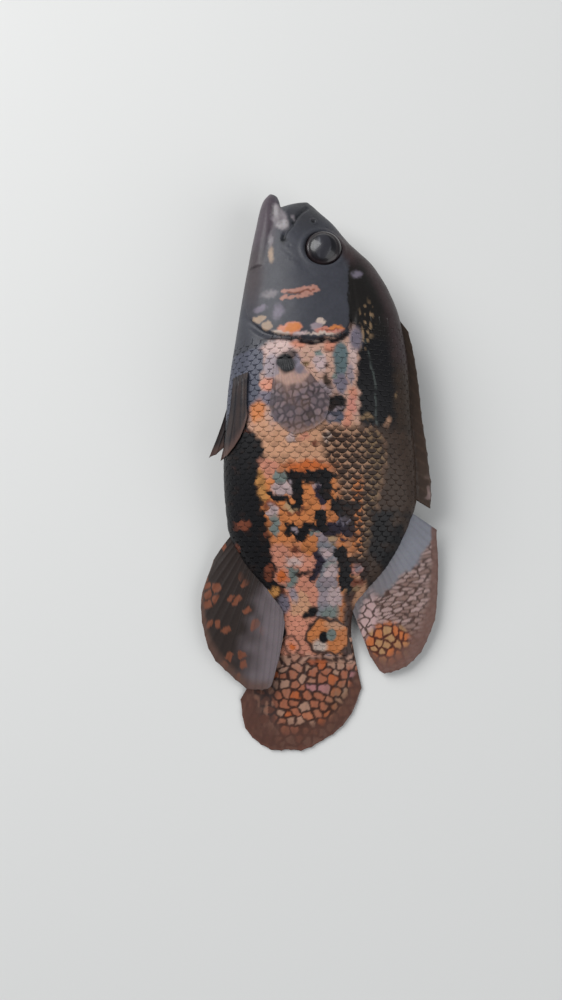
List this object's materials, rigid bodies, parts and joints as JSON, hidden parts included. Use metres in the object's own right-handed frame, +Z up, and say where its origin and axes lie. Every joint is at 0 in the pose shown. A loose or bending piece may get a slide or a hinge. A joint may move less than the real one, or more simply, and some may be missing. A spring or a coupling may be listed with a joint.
{
  "type": "oscar fish, still life-size model",
  "caption": "Young oscar fish lying on its right side, deep flat body, blunt head, slightly open mouth, rounded tail and half-spread fins.",
  "frame": {"origin": "on the floor, under the middle of the fish's bounding box", "axes": "+Y towards the head, +X towards the back fin, +Z up from the floor, so the left side faces up"},
  "size_m": [0.0508, 0.119, 0.0196],
  "materials": {
    "skin": "wet scaled skin, near-black with orange and lilac marbling, glossy",
    "fin": "thin wet fin membrane over soft rays, orange cells netted with brown",
    "eye": "smooth wet cornea over a dark iris"
  },
  "bodies": {
    "root": {"head": "skin", "lower_jaw": "skin", "gill_cover_left": "skin", "gill_cover_right": "skin", "trunk": "skin", "caudal_peduncle": "skin", "dorsal_fin_spiny": "fin", "dorsal_fin_soft": "fin", "anal_fin": "fin", "caudal_fin": "fin", "pectoral_fin_left": "fin", "pectoral_fin_right": "fin", "pelvic_fin_left": "fin", "pelvic_fin_right": "fin", "eye_left": "eye", "eye_right": "eye"}
  },
  "joints": []
}
